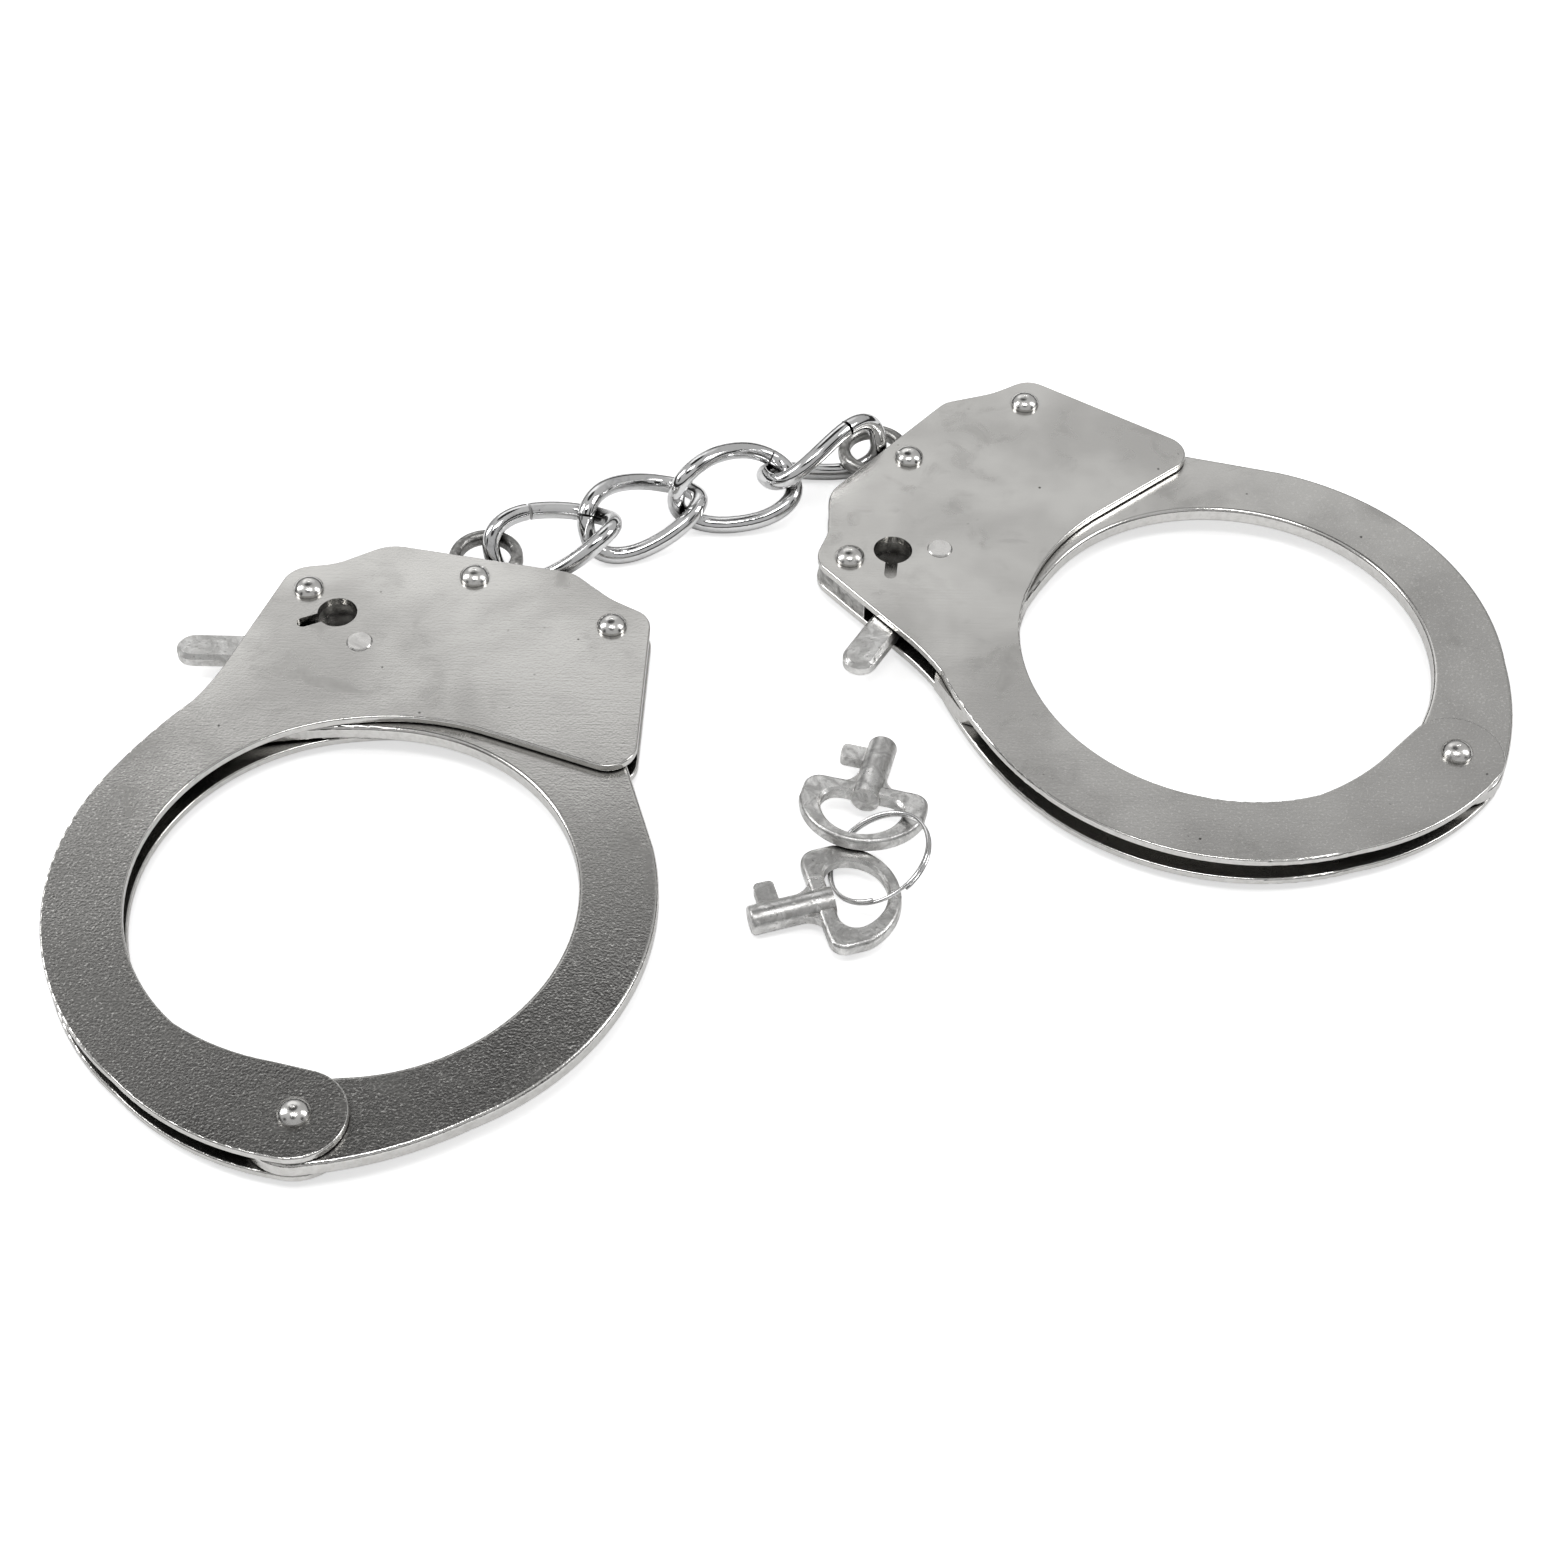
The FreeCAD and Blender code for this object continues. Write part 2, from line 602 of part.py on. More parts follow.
def key():
    """Key with its shank along +Y and its bit towards -X, about the middle of its thickness."""
    length = SHANK_TIP - SHANK_START
    shank = Part.makeCylinder(SHANK_RADIUS, length, Vector(0, SHANK_START, 0), Vector(0, 1, 0))
    shank = shank.makeFillet(0.4, [e for e in shank.Edges if e.BoundBox.YMin > SHANK_TIP - 0.1])
    bit_low = SHANK_TIP - BIT_FROM_TIP - BIT_LENGTH
    bit = prism([
        (0, bit_low),
        (-BIT_REACH, bit_low, BIT_CORNER),
        (-BIT_REACH, bit_low + BIT_LENGTH, BIT_CORNER),
        (0, bit_low + BIT_LENGTH),
    ], -BIT_THICK / 2, BIT_THICK)
    return bow().fuse([shank, bit] + shank_gussets()).removeSplitter()


def split_ring():
    """Double-wound ring about Z, centred on its thickness."""
    height = RING_PITCH * RING_TURNS
    helix = Part.makeHelix(RING_PITCH, height, RING_RADIUS)
    section = Part.Wire(Part.makeCircle(RING_WIRE, Vector(RING_RADIUS, 0, 0), Vector(0, 1, 0)))
    ring = Part.Wire(helix).makePipeShell([section], True, True)
    ring.translate(Vector(0, 0, -height / 2))
    return ring


def whole_set():
    """Every named piece, in its place."""
    nodes = {}
    for side, (centre, turn) in CUFFS.items():
        for name, shape in cuff().items():
            shape.Placement = Placement(centre, Rotation(Z_AXIS, turn)) * shape.Placement
            nodes[f"{side}_{name}"] = shape
    for number, place in enumerate(CHAIN_LINKS, 1):
        nodes[f"chain_link_{number}"] = chain_link(*place)
    for name, (place, turn, tilt, roll) in KEY_PLACES.items():
        pose = Rotation(Z_AXIS, turn) * Rotation(Vector(1, 0, 0), -tilt) * Rotation(Vector(0, 1, 0), roll)
        shape = key()
        shape.Placement = Placement(place, pose)
        nodes[name] = shape
    place, tilt, turn = RING_PLACE
    ring = split_ring()
    ring.Placement = Placement(place, Rotation(Vector(0, 1, 0), -tilt) * Rotation(Z_AXIS, turn))
    nodes["split_ring"] = ring
    return nodes


os.makedirs("parts", exist_ok=True)
for node, shape in whole_set().items():
    print(node, shape.isValid(), round(shape.Volume, 2), len(shape.Solids))
    shape.exportStep(f"parts/{node}.step")
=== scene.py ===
import math

import bpy
from mathutils import Matrix, Vector


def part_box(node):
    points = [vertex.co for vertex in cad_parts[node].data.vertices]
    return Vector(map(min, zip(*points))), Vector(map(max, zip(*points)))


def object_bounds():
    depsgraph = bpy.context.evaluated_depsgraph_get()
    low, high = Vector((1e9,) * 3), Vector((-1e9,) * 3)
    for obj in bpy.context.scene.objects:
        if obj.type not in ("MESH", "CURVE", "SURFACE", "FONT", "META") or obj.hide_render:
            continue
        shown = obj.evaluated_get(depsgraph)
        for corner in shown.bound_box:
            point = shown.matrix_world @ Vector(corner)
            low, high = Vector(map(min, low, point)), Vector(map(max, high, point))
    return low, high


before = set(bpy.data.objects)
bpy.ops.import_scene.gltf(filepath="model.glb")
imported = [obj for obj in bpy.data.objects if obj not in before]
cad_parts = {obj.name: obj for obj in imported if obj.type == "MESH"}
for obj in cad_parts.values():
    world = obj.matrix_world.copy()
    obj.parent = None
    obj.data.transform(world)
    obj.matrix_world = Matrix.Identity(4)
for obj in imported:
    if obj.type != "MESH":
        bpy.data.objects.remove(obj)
cad_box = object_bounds()

# Lengths are in millimetres and angles in degrees, unless a name says otherwise.
MM = 0.001
SIDES = ("left", "right")
LINK_COUNT = 4

# Camera, at the photograph's viewing angle. The focal length is in pixels of the full image.
CAMERA_PLACE = (-3.408, -229.715, 256.54)
CAMERA_PITCH = 48.777
CAMERA_ROLL = 1.384
CAMERA_NEAR = 10.0
FOCAL_PIXELS = 2635.09
IMAGE_PIXELS = 1563
SENSOR = 36.0

# Floor and backdrop. The floor glows more to the camera than it does in reflections.
FLOOR_SIDE = 9000.0
FLOOR_CLEARANCE = 0.05
FLOOR_ALBEDO = (0.86, 0.86, 0.86, 1.0)
FLOOR_GLOW_SEEN = 0.62
FLOOR_GLOW_CAST = 0.10
BACKDROP = (1.0, 1.0, 1.0, 1.0)

# Round patches of the room: azimuth, elevation, inner and outer radius, brightness.
ROOM_PATCHES = (
    (86.0, 39.0, 9.0, 17.0, 0.74),
    (107.0, 39.0, 11.0, 19.0, 1.06),
    (104.0, 65.0, 13.0, 19.0, 0.04),
    (270.0, 66.0, 13.0, 19.0, 0.02),
    (215.0, 30.0, 7.0, 12.0, 0.02),
    (333.0, 30.0, 7.0, 12.0, 0.02),
)
# Sine of the elevation, and the room's brightness there.
ROOM_STEPS = (
    (0.00, 0.40),
    (0.02, 0.03),
    (0.21, 0.03),
    (0.27, 0.44),
    (0.70, 0.46),
    (1.00, 0.55),
)

# Soft lights: name, azimuth, elevation, distance, width, height, watts.
SOFTBOXES = (
    ("left_softbox", 172.0, 38.0, 800.0, 220.0, 420.0, 1.6),
    ("right_softbox", 5.0, 40.0, 800.0, 200.0, 380.0, 1.2),
    ("front_softbox", 268.0, 76.0, 900.0, 420.0, 160.0, 1.6),
)

# Colours of the finishes, linear.
# Dark grime colour, used for the castings' dark flecks and for painted shade in hollows.
GRIME_AND_SHADE = (0.05, 0.048, 0.045, 1.0)
NICKEL_LIGHT = (0.70, 0.69, 0.667, 1.0)
NICKEL_DARK = (0.575, 0.566, 0.546, 1.0)
NICKEL_STAIN = (0.40, 0.39, 0.375, 1.0)
NICKEL_EDGE = (0.80, 0.79, 0.77, 1.0)
SPECK_COLOUR = (0.06, 0.055, 0.05, 1.0)
CAST_LIGHT = (0.52, 0.515, 0.50, 1.0)
CAST_DARK = (0.22, 0.216, 0.208, 1.0)
CAST_WORN = (0.82, 0.81, 0.79, 1.0)
LEVER_LIGHT = (0.90, 0.895, 0.88, 1.0)
LEVER_DARK = (0.60, 0.595, 0.58, 1.0)
KEY_LIGHT = (0.88, 0.875, 0.86, 1.0)
KEY_DARK = (0.50, 0.495, 0.485, 1.0)
STEEL_LIGHT = (0.80, 0.79, 0.77, 1.0)
STEEL_DARK = (0.50, 0.49, 0.475, 1.0)
CHROME_LIGHT = (0.86, 0.86, 0.86, 1.0)
CHROME_SMUDGE = (0.60, 0.60, 0.61, 1.0)

# Nickel plating: feature sizes, and depths in the surface.
NICKEL_SEED = (31.7, 17.3, 5.1)
CLOUD_SIZE = 17.0
BLOTCH_SIZE = 6.0
SPARKLE_SIZE = 0.34
GRAIN_SIZE = 0.30
BRUSHING = (0.10, 3.2, 1.0)
BRUSHING_DEPTH = 0.006
SPECK_SPACING = 1.9
SPECK_CLUSTER = 9.0
SPECK_SPREAD = 1.3
SPECK_DEPTH = 0.02
SCUFF_SIZE = 0.30
SCUFF_DEPTH = 0.008
EDGE_WOBBLE_SIZE = 0.8
STAIN_SHARE = 0.40
SPECK_SHARE = 0.85
SCUFF_SHARE = 0.35
SPARKLE_GAIN = 1.25
# Distances from the lock between which the grain coarsens, and between which painted shade
# darkens the metal.
GRAIN_REACH = (26.0, 76.0)
FAR_SHADE_REACH = (30.0, 78.0)
# For each cuff: depth of the grain, how much darker painted shade makes the far end, and the
# brushing's direction.
GRAIN_DEPTH = {"left": 0.030, "right": 0.010}
FAR_SHADE = {"left": 0.44, "right": 0.14}
BRUSH_TURNS = {"left": -6.0, "right": 12.0}

# Castings.
CAST_SEED = (23.1, 11.9, 7.7)
MOTTLE_SIZE = 2.2
FLECK_SIZE = 0.55
CAST_STREAK_SIZE = 0.9
CAST_STREAKS = (2.4, 0.5, 1.0)
CAST_STREAK_TURN = 35.0
PIT_SPACING = 0.9
MOTTLE_DEPTH = 0.06
FLECK_DEPTH = 0.035
PIT_DEPTH = 0.03
WORN_RADIUS = 0.45
WORN_GAIN = 9.0

# Polished metal.
POLISH_SEED = (13.3, 29.9, 3.7)
SMUDGE_SIZE = 2.6
SCRATCHES = (0.5, 9.0, 4.0)
SCRATCH_TURN = 33.0
SCRATCH_DEPTH = 0.003

# Painted shade in hollows: how near the walls are, the open share of the view where it starts
# and where it is full, and how strongly it colours. Each polished finish has its own last number.
NICKEL_SEAMS = (1.1, 0.75, 0.30, 0.75)
NICKEL_HOLES = (4.5, 0.42, 0.15, 0.92)
CAST_SEAMS = (1.6, 0.75, 0.30, 0.85)
CAST_HOLES = (5.0, 0.36, 0.12, 0.90)
POLISH_SEAMS = (0.8, 0.75, 0.30, 0.80)
UNDERSIDES = (7.0, 0.70, 0.22)


class Nodes:
    """Adds and links shader nodes in one node tree. Lengths given to it are in millimetres."""

    def __init__(self, tree):
        self.tree = tree
        tree.nodes.clear()
        self.where = self.add("TexCoord").outputs
        self.place = self.scaled(self.where["Object"], (1 / MM, 1 / MM, 1 / MM))

    def put(self, node, name, value):
        """Links a socket to an input, or sets the input to a plain value."""
        socket = node.inputs[name]
        if isinstance(value, bpy.types.NodeSocket):
            self.tree.links.new(value, socket)
        else:
            socket.default_value = value

    def add(self, kind, inputs=None, **settings):
        node = self.tree.nodes.new("ShaderNode" + kind)
        for name, value in settings.items():
            setattr(node, name, value)
        for name, value in (inputs or {}).items():
            self.put(node, name, value)
        return node

    def scaled(self, vector, factors, turn=0.0):
        inputs = {"Vector": vector, "Scale": factors, "Rotation": (0, 0, math.radians(turn))}
        return self.add("Mapping", inputs).outputs["Vector"]

    def seeded(self, seed, steps):
        """The place, shifted by a multiple of steps, so that two finishes don't match."""
        offset = tuple(seed * step for step in steps)
        return self.add("Mapping", {"Vector": self.place, "Location": offset}).outputs["Vector"]

    def noise(self, size, detail, roughness, at, distortion=0.0):
        """Noise whose largest features are about this size, from 0 to 1."""
        inputs = {
            "Vector": at,
            "Scale": 1.0 / size,
            "Detail": detail,
            "Roughness": roughness,
            "Distortion": distortion,
        }
        return self.add("TexNoise", inputs).outputs["Fac"]

    def cells(self, size, at):
        """Distance to the nearest of scattered points, as a share of their spacing."""
        inputs = {"Vector": at, "Scale": 1.0 / size}
        return self.add("TexVoronoi", inputs).outputs["Distance"]

    def math(self, operation, first, second=0.0):
        node = self.add("Math", {0: first, 1: second}, operation=operation)
        return node.outputs["Value"]

    def times(self, first, second):
        return self.math("MULTIPLY", first, second)

    def plus(self, first, second):
        return self.math("ADD", first, second)

    def rest_of(self, share):
        """One less a share."""
        return self.math("SUBTRACT", 1.0, share)

    def spread(self, value, low, high, start=0.0, end=1.0):
        """Value from low to high becomes start to end, smoothly and clamped."""
        inputs = {
            "Value": value,
            "From Min": low,
            "From Max": high,
            "To Min": start,
            "To Max": end,
        }
        return self.add("MapRange", inputs, interpolation_type="SMOOTHSTEP").outputs["Result"]

    def mix(self, share, first, second):
        """First colour where share is zero, second where it is one."""
        inputs = {0: share, 6: first, 7: second}
        return self.add("Mix", inputs, data_type="RGBA").outputs[2]

    def blend(self, share, first, second):
        """First number where share is zero, second where it is one."""
        inputs = {0: share, 2: first, 3: second}
        return self.add("Mix", inputs, data_type="FLOAT").outputs[0]

    def vector_math(self, operation, inputs, output):
        return self.add("VectorMath", inputs, operation=operation).outputs[output]

    def dot(self, first, second):
        return self.vector_math("DOT_PRODUCT", {0: first, 1: second}, "Value")

    def less(self, first, second):
        return self.vector_math("SUBTRACT", {0: first, 1: second}, "Vector")

    def length(self, vector):
        return self.vector_math("LENGTH", {0: vector}, "Value")

    def dimmed(self, colour, kept):
        """The colour with each channel multiplied by a number."""
        factors = self.add("CombineXYZ", {"X": kept, "Y": kept, "Z": kept}).outputs["Vector"]
        return self.scaled(colour, factors)

    def bump(self, height, depth, below=None):
        """Moves the normal as if the surface rose by height times depth."""
        node = self.add("Bump", {"Height": height, "Distance": depth * MM, "Strength": 1.0})
        if below is not None:
            self.put(node, "Normal", below)
        return node.outputs["Normal"]

    def flatness(self):
        """One where the surface faces straight up or down in its own frame, zero on its sides."""
        parts = self.add("SeparateXYZ", {"Vector": self.where["Normal"]})
        upright = self.math("ABSOLUTE", parts.outputs["Z"])
        return self.spread(upright, 0.90, 0.99)

    def worn_edges(self, radius, gain):
        """One along outer edges, where a casting is rubbed bright."""
        rounded = self.add("Bevel", {"Radius": radius * MM}, samples=6).outputs["Normal"]
        plain = self.add("NewGeometry").outputs["Normal"]
        bend = self.rest_of(self.dot(rounded, plain))
        return self.spread(self.times(bend, gain), 0.05, 1.0)

    def shaded_in_hollows(self, colour, reach, open_share, closed_share, strength):
        """The colour darkened by painted shade in hollows whose walls are nearer than reach."""
        found = self.add("AmbientOcclusion", {"Distance": reach * MM}, samples=6)
        hollow = self.spread(found.outputs["AO"], open_share, closed_share)
        return self.mix(self.times(hollow, strength), colour, GRIME_AND_SHADE)

    def metal(self, colour, roughness, normal):
        """Ends the tree with a bare metal surface."""
        inputs = {
            "Base Color": colour,
            "Roughness": roughness,
            "Normal": normal,
            "Metallic": 1.0,
        }
        surface = self.add("BsdfPrincipled", inputs).outputs["BSDF"]
        self.add("OutputMaterial", {"Surface": surface})


def new_material(name):
    material = bpy.data.materials.new(name)
    material.use_nodes = True
    return material, Nodes(material.node_tree)


def shaded_far_from_lock(n, colour, at, reach, side):
    """Nickel darkened by painted shade away from the lock, with sparkling grains kept bright in
    it.
    """
    sparkle = n.spread(n.noise(SPARKLE_SIZE, 1.0, 0.5, at), 0.56, 0.72)
    far_dimming = n.times(n.spread(reach, *FAR_SHADE_REACH), n.rest_of(n.times(sparkle, SPARKLE_GAIN)))
    return n.dimmed(colour, n.rest_of(n.times(far_dimming, FAR_SHADE[side])))


def specks(n, at):
    """One in tiny dark specks, which come in clusters."""
    cluster = n.spread(n.noise(SPECK_CLUSTER, 3.0, 0.5, at), 0.52, 0.66)
    some = n.spread(n.noise(SPECK_SPREAD, 2.0, 0.5, at), 0.46, 0.56)
    found = n.spread(n.cells(SPECK_SPACING, at), 0.12, 0.06)
    return n.times(n.times(found, cluster), some)


def scuffs(n, swing, blotch):
    """One in faint broken rings round the point about which a strand slides."""
    across = n.scaled(n.less(n.place, swing), (1.0, 1.0, 0.0))
    rings_at = n.add("CombineXYZ", {"X": n.length(across)}).outputs["Vector"]
    rings = n.noise(SCUFF_SIZE, 3.0, 0.7, rings_at)
    return n.times(n.spread(rings, 0.58, 0.72), n.spread(blotch, 0.46, 0.62))


def nickel(name, seed, side, swing=None):
    """Satin nickel plating: cloudy stains, tiny specks, faint brushing and polished edges.

    The grain gets coarser away from the lock, and painted shade darkens it there. swing is
    the point about which a strand slides, which leaves faint scuffs round it.
    """
    material, n = new_material(name)
    at = n.seeded(seed, NICKEL_SEED)
    cloud = n.noise(CLOUD_SIZE, 3.0, 0.5, at, 0.3)
    blotch = n.noise(BLOTCH_SIZE, 5.0, 0.6, at, 0.6)
    grain = n.noise(GRAIN_SIZE, 1.0, 0.5, at)
    streaks = n.noise(1.0, 4.0, 0.6, n.scaled(at, BRUSHING, BRUSH_TURNS[side]))
    speck = specks(n, at)
    reach = n.length(n.less(n.place, middle(side + "_eye_rivet")))

    stain = n.times(n.spread(blotch, 0.52, 0.74), n.spread(cloud, 0.64, 0.40))
    colour = n.mix(n.spread(cloud, 0.30, 0.68), NICKEL_DARK, NICKEL_LIGHT)
    colour = n.mix(n.times(stain, STAIN_SHARE), colour, NICKEL_STAIN)
    # Painted shade: darker away from the lock, except in sparkling grains.
    colour = shaded_far_from_lock(n, colour, at, reach, side)
    colour = n.mix(n.spread(streaks, 0.62, 0.80, 0.0, 0.22), colour, NICKEL_LIGHT)
    colour = n.mix(n.times(speck, SPECK_SHARE), colour, SPECK_COLOUR)

    coarse = n.spread(reach, *GRAIN_REACH, 0.30, 1.0)
    normal = n.bump(n.times(grain, coarse), GRAIN_DEPTH[side])
    normal = n.bump(streaks, BRUSHING_DEPTH, normal)
    normal = n.bump(n.rest_of(speck), SPECK_DEPTH, normal)
    if swing:
        scuffed = scuffs(n, swing, blotch)
        colour = n.mix(n.times(scuffed, SCUFF_SHARE), colour, NICKEL_STAIN)
        normal = n.bump(scuffed, SCUFF_DEPTH, normal)

    flat = n.flatness()
    wobble = n.noise(EDGE_WOBBLE_SIZE, 3.0, 0.6, at)
    edge_colour = n.mix(n.spread(wobble, 0.35, 0.70), NICKEL_EDGE, NICKEL_LIGHT)
    colour = n.mix(flat, edge_colour, colour)
    # Painted shade in seams and between the plates, deepest inside holes such as the keyhole.
    colour = n.shaded_in_hollows(colour, *NICKEL_SEAMS)
    colour = n.shaded_in_hollows(colour, *NICKEL_HOLES)

    satin = n.spread(cloud, 0.30, 0.70, 0.27, 0.20)
    satin = n.plus(satin, n.spread(blotch, 0.50, 0.75, 0.0, 0.06))
    edge_roughness = n.spread(wobble, 0.30, 0.75, 0.11, 0.22)
    n.metal(colour, n.blend(flat, edge_roughness, satin), normal)
    return material


def cast_metal(name, seed, light=CAST_LIGHT, dark=CAST_DARK):
    """A rough zinc casting: mottled grey skin, small pits and edges rubbed bright."""
    material, n = new_material(name)
    at = n.seeded(seed, CAST_SEED)
    mottle = n.noise(MOTTLE_SIZE, 6.0, 0.68, at, 0.8)
    fleck = n.noise(FLECK_SIZE, 4.0, 0.7, at)
    streaks_at = n.scaled(at, CAST_STREAKS, CAST_STREAK_TURN)
    streaks = n.noise(CAST_STREAK_SIZE, 3.0, 0.6, streaks_at)
    pits = n.spread(n.cells(PIT_SPACING, at), 0.30, 0.05)
    worn = n.times(n.worn_edges(WORN_RADIUS, WORN_GAIN), n.spread(mottle, 0.30, 0.55))

    colour = n.mix(n.spread(mottle, 0.36, 0.66), dark, light)
    colour = n.mix(n.spread(fleck, 0.58, 0.75, 0.0, 0.55), colour, CAST_WORN)
    colour = n.mix(n.spread(fleck, 0.42, 0.28, 0.0, 0.55), colour, GRIME_AND_SHADE)
    colour = n.mix(worn, colour, CAST_WORN)
    colour = n.mix(n.spread(streaks, 0.56, 0.74, 0.0, 0.35), colour, CAST_WORN)
    # Painted shade in seams and in deep hollows.
    colour = n.shaded_in_hollows(colour, *CAST_SEAMS)
    colour = n.shaded_in_hollows(colour, *CAST_HOLES)

    roughness = n.plus(n.spread(mottle, 0.30, 0.70, 0.40, 0.26), n.times(worn, -0.12))
    normal = n.bump(mottle, MOTTLE_DEPTH)
    normal = n.bump(fleck, FLECK_DEPTH, normal)
    normal = n.bump(pits, -PIT_DEPTH, normal)
    n.metal(colour, roughness, normal)
    return material


def polished(name, seed, light, dark, smooth, rough, dent, shade=0.0):
    """Bright metal with smudges, fine scratches and painted shade where it meets its neighbours.

    smooth and rough are its roughness between smudges and on them, dent is the depth of its
    dents, and shade is how dark its sheltered undersides are.
    """
    material, n = new_material(name)
    at = n.seeded(seed, POLISH_SEED)
    smudge = n.noise(SMUDGE_SIZE, 5.0, 0.62, at, 0.9)
    scratch = n.noise(1.0, 3.0, 0.6, n.scaled(at, SCRATCHES, SCRATCH_TURN))

    colour = n.mix(n.spread(smudge, 0.50, 0.74, 0.0, 0.65), light, dark)
    # Painted shade where it meets its neighbours, and on sheltered undersides when shade is
    # given.
    colour = n.shaded_in_hollows(colour, *POLISH_SEAMS)
    if shade:
        colour = n.shaded_in_hollows(colour, *UNDERSIDES, shade)

    roughness = n.spread(smudge, 0.40, 0.75, smooth, rough)
    roughness = n.plus(roughness, n.spread(scratch, 0.60, 0.76, 0.0, 0.08))
    normal = n.bump(smudge, dent)
    normal = n.bump(scratch, SCRATCH_DEPTH, normal)
    n.metal(colour, roughness, normal)
    return material


def middle(node):
    """The middle of a CAD node's box, in millimetres."""
    low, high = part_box(node)
    return tuple((a + b) / 2 / MM for a, b in zip(low, high))


def finish(material, *nodes):
    """Gives CAD nodes a material."""
    for node in nodes:
        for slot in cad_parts[node].material_slots:
            slot.material = material


def finish_nickel():
    """Plates and strands, each cuff with its own seed and wear."""
    for number, side in enumerate(SIDES):
        plate = nickel(side + "_nickel_plate", 1 + number, side)
        pivot = middle(side + "_jaw_rivet")
        strand = nickel(side + "_nickel_strand", 3 + number, side, pivot)
        finish(plate, side + "_front_plate", side + "_back_plate")
        finish(strand, side + "_jaw")


def finish_castings():
    casting = cast_metal("cast_casting", 1)
    eye_casting = cast_metal("cast_eye", 2)
    key_casting = cast_metal("key_casting", 8, KEY_LIGHT, KEY_DARK)
    lever = cast_metal("cast_lever", 9, LEVER_LIGHT, LEVER_DARK)
    for side in SIDES:
        finish(casting, side + "_lock_body")
        finish(eye_casting, side + "_chain_eye")
        finish(lever, side + "_release_pawl")
    finish(key_casting, "key_a", "key_b")


def finish_polished():
    rivet = polished("rivet_steel", 3, STEEL_LIGHT, STEEL_DARK, 0.17, 0.30, 0.03)
    pin = polished("pin_steel", 4, STEEL_LIGHT, STEEL_DARK, 0.24, 0.38, 0.02)
    spring = polished("spring_steel", 5, STEEL_LIGHT, STEEL_DARK, 0.16, 0.30, 0.01)
    # The chain links' last number is the strength of painted shade on their undersides.
    chrome = polished("link_chrome", 6, CHROME_LIGHT, CHROME_SMUDGE, 0.035, 0.11, 0.015, 0.85)
    ring_wire = polished("ring_steel", 7, CHROME_LIGHT, STEEL_DARK, 0.08, 0.20, 0.004)
    for side in SIDES:
        finish(rivet, side + "_body_rivets", side + "_eye_rivet", side + "_jaw_rivet")
        finish(pin, side + "_pawl_pin")
        finish(spring, side + "_pawl_spring")
    for number in range(1, LINK_COUNT + 1):
        finish(chrome, f"chain_link_{number}")
    finish(ring_wire, "split_ring")


def link(thing):
    """Puts an object in the scene."""
    bpy.context.scene.collection.objects.link(thing)


def paper():
    """White paper that glows a little, more to the camera than in reflections."""
    material, n = new_material("studio_paper")
    plain = n.add("BsdfDiffuse", {"Color": FLOOR_ALBEDO}).outputs["BSDF"]
    first_hit = n.add("LightPath").outputs["Is Camera Ray"]
    strength = n.spread(first_hit, 0.0, 1.0, FLOOR_GLOW_CAST, FLOOR_GLOW_SEEN)
    glow = n.add("Emission", {"Color": BACKDROP, "Strength": strength}).outputs["Emission"]
    both = n.add("AddShader", {0: plain, 1: glow}).outputs["Shader"]
    n.add("OutputMaterial", {"Surface": both})
    return material


def add_floor():
    """A plain pale floor, just under the lowest point."""
    half = FLOOR_SIDE * MM / 2
    height = cad_box[0][2] - FLOOR_CLEARANCE * MM
    corners = [
        (-half, -half, height),
        (half, -half, height),
        (half, half, height),
        (-half, half, height),
    ]
    mesh = bpy.data.meshes.new("studio_floor")
    mesh.from_pydata(corners, [], [(0, 1, 2, 3)])
    mesh.materials.append(paper())
    floor = bpy.data.objects.new("studio_floor", mesh)
    link(floor)


def way(azimuth, elevation):
    """Unit vector towards an azimuth from +X and an elevation."""
    around = math.radians(azimuth)
    up = math.radians(elevation)
    return (math.cos(up) * math.cos(around), math.cos(up) * math.sin(around), math.sin(up))


def room_levels(n, direction):
    """The room's brightness by elevation, as a colour."""
    height = n.add("SeparateXYZ", {"Vector": direction}).outputs["Z"]
    ramp = n.add("ValToRGB", {"Fac": height})
    steps = ramp.color_ramp.elements
    while len(steps) < len(ROOM_STEPS):
        steps.new(0.5)
    for step, (position, level) in zip(steps, ROOM_STEPS):
        step.position = position
        step.color = (level, level, level, 1.0)
    return ramp.outputs["Color"]


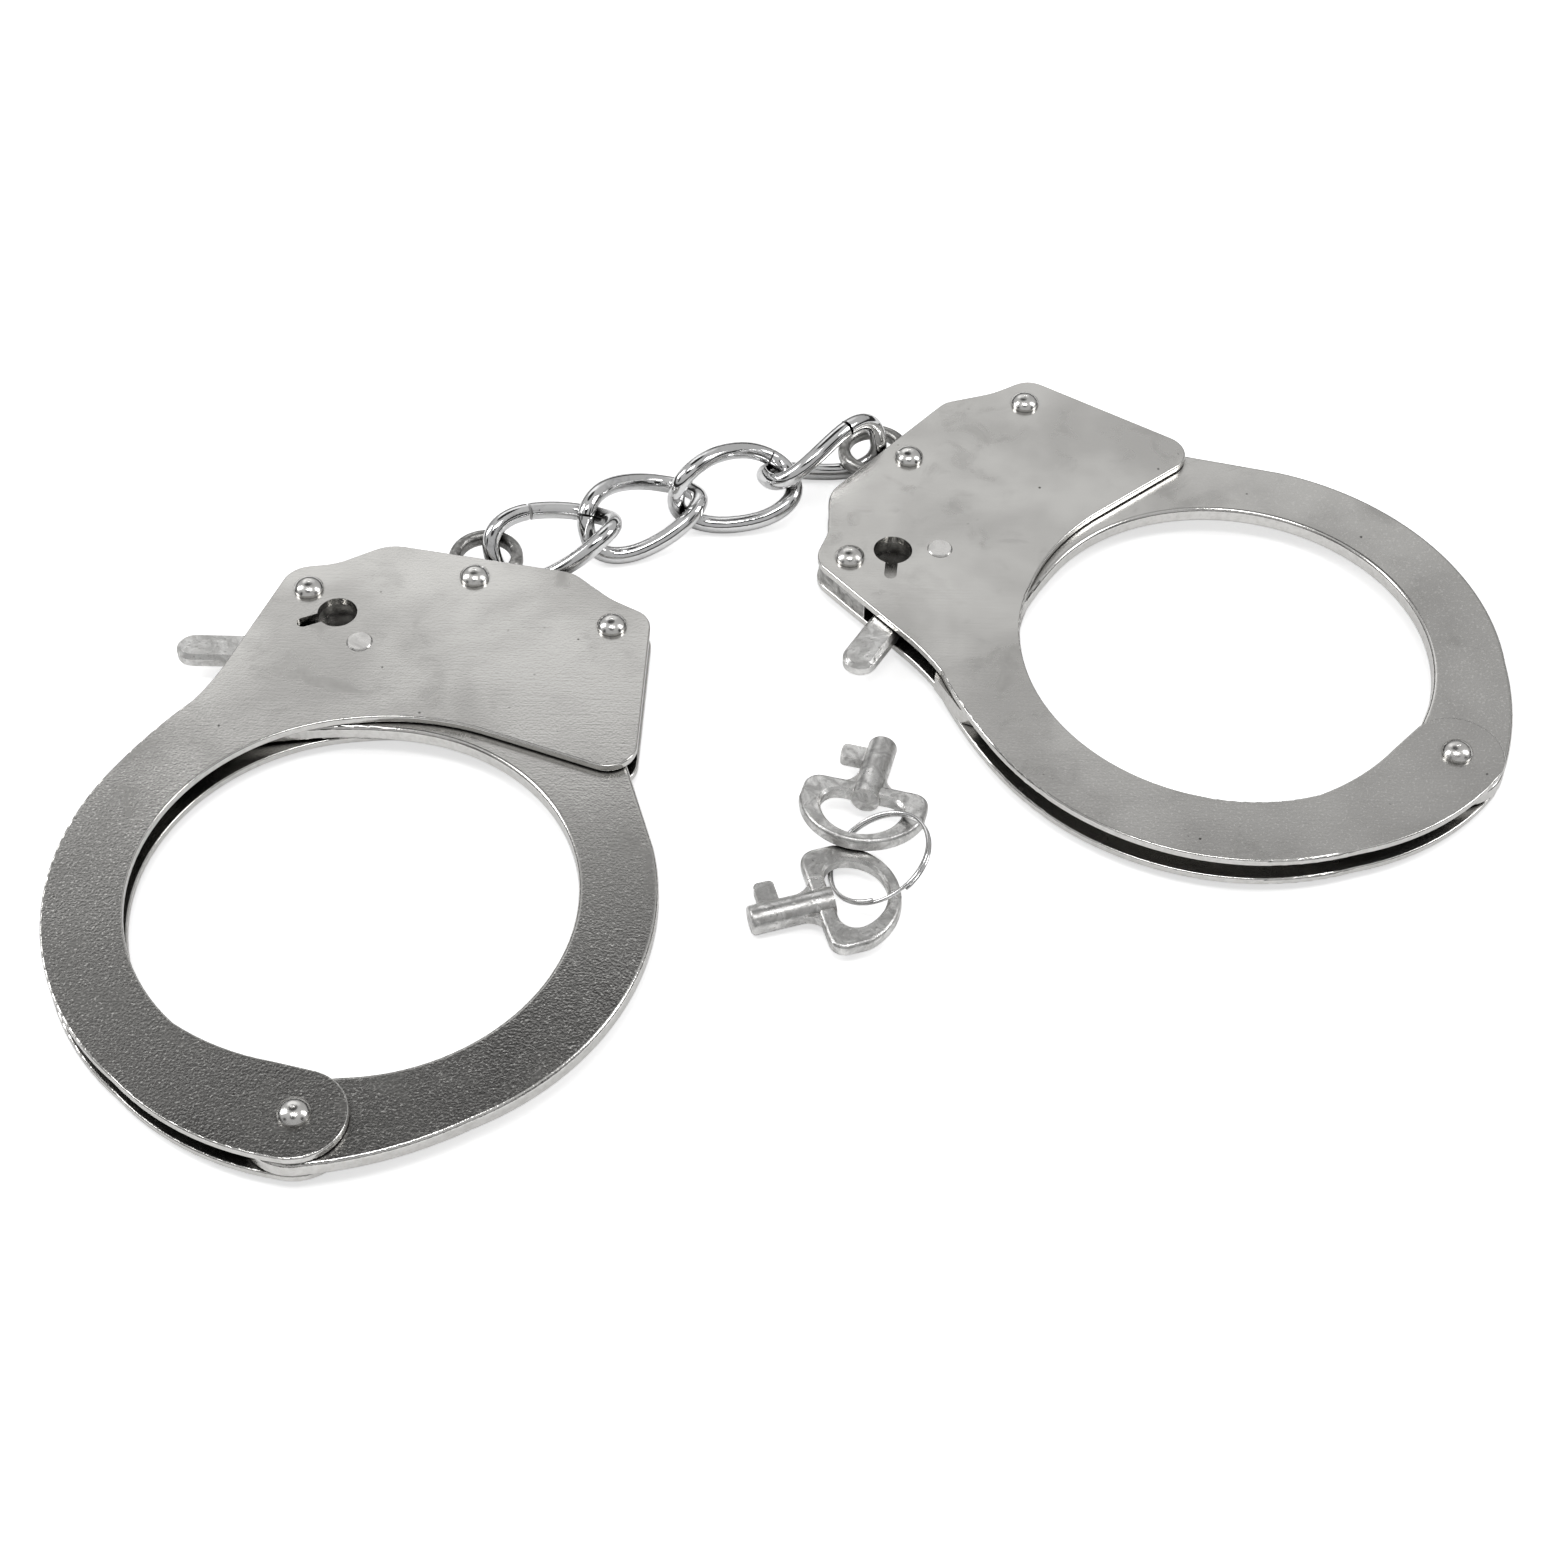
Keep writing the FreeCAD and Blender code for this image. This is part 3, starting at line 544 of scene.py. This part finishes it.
def add_room():
    """A grey room with a dark skirting, two bright windows and dark patches.

    Only reflections show it. The camera sees a plain backdrop.
    """
    world = bpy.data.worlds.new("studio_room")
    world.use_nodes = True
    bpy.context.scene.world = world
    n = Nodes(world.node_tree)
    direction = n.where["Generated"]
    room = room_levels(n, direction)
    for azimuth, elevation, inner, outer, level in ROOM_PATCHES:
        nearness = n.dot(direction, way(azimuth, elevation))
        outside = math.cos(math.radians(outer))
        inside = n.spread(nearness, outside, math.cos(math.radians(inner)))
        room = n.mix(inside, room, (level, level, level, 1.0))
    cast = n.add("Background", {"Color": room, "Strength": 1.0}).outputs["Background"]
    plain = n.add("Background", {"Color": BACKDROP, "Strength": 1.0}).outputs["Background"]
    first_hit = n.add("LightPath").outputs["Is Camera Ray"]
    both = n.add("MixShader", {0: first_hit, 1: cast, 2: plain}).outputs["Shader"]
    n.add("OutputWorld", {"Surface": both})


def add_softbox(name, azimuth, elevation, distance, width, height, watts):
    """A soft rectangular light that faces the object."""
    light = bpy.data.lights.new(name, "AREA")
    light.shape = "RECTANGLE"
    light.size = width * MM
    light.size_y = height * MM
    light.energy = watts
    holder = bpy.data.objects.new(name, light)
    link(holder)
    place = Vector(way(azimuth, elevation))
    holder.location = place * distance * MM
    holder.rotation_euler = (-place).to_track_quat("-Z", "Y").to_euler()
    holder.visible_camera = False


def add_camera():
    """The photograph's camera: pitched down along +Y, with a slight roll."""
    pitch = math.radians(CAMERA_PITCH)
    roll = math.radians(CAMERA_ROLL)
    level_right = Vector((1.0, 0.0, 0.0))
    level_up = Vector((0.0, math.sin(pitch), math.cos(pitch)))
    backward = Vector((0.0, -math.cos(pitch), math.sin(pitch)))
    right = math.cos(roll) * level_right + math.sin(roll) * level_up
    up = -math.sin(roll) * level_right + math.cos(roll) * level_up
    turned = Matrix((right, up, backward)).transposed().to_4x4()
    turned.translation = Vector(CAMERA_PLACE) * MM

    lens = bpy.data.cameras.new("photo_camera")
    lens.sensor_width = SENSOR
    lens.lens = FOCAL_PIXELS / IMAGE_PIXELS * SENSOR
    lens.clip_start = CAMERA_NEAR * MM
    camera = bpy.data.objects.new("photo_camera", lens)
    link(camera)
    camera.matrix_world = turned
    bpy.context.scene.camera = camera


bpy.context.scene.view_settings.view_transform = "Standard"
add_camera()
add_floor()
add_room()
for softbox in SOFTBOXES:
    add_softbox(*softbox)
finish_nickel()
finish_castings()
finish_polished()
